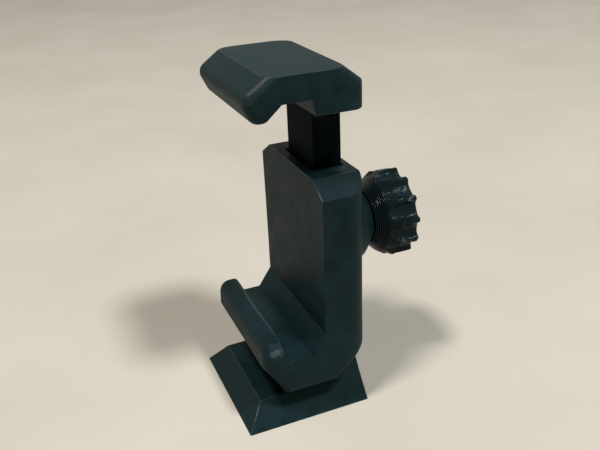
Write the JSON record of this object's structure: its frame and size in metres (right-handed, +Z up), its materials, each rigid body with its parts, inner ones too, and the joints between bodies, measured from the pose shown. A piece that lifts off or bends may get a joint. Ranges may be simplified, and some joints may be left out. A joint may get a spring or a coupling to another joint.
{
  "type": "tripod phone holder",
  "caption": "Phone clamp for a tripod: a column with a fixed lower jaw on a dovetail plate, and a sliding upper jaw held by a knob screw.",
  "frame": {"origin": "middle of the underside of the dovetail plate", "axes": "+X across the jaws, -Y towards the phone, +Y towards the knob, +Z up along the column"},
  "size_m": [0.048, 0.065, 0.1113],
  "materials": {
    "printed_body": "printed PLA, dark blue-black, satin, with fine layer lines",
    "zinc_steel": "zinc-plated steel, bright, slightly mottled"
  },
  "bodies": {
    "holder": {"holder_body": "printed_body", "captive_nut": "zinc_steel"},
    "jaw": {"sliding_jaw": "printed_body"},
    "screw": {"clamp_knob": "printed_body", "clamp_bolt": "zinc_steel"}
  },
  "joints": [
    {"name": "jaw_slide", "type": "slide", "parent": "holder", "child": "jaw", "axis": [0, 0, 1], "range_m": [-0.019, 0.012]},
    {"name": "knob_turn", "type": "hinge", "parent": "holder", "child": "screw", "pos_m": [0, 0.0374, 0.0552], "axis": [0, 1, 0], "range_deg": [0, 720]}
  ]
}
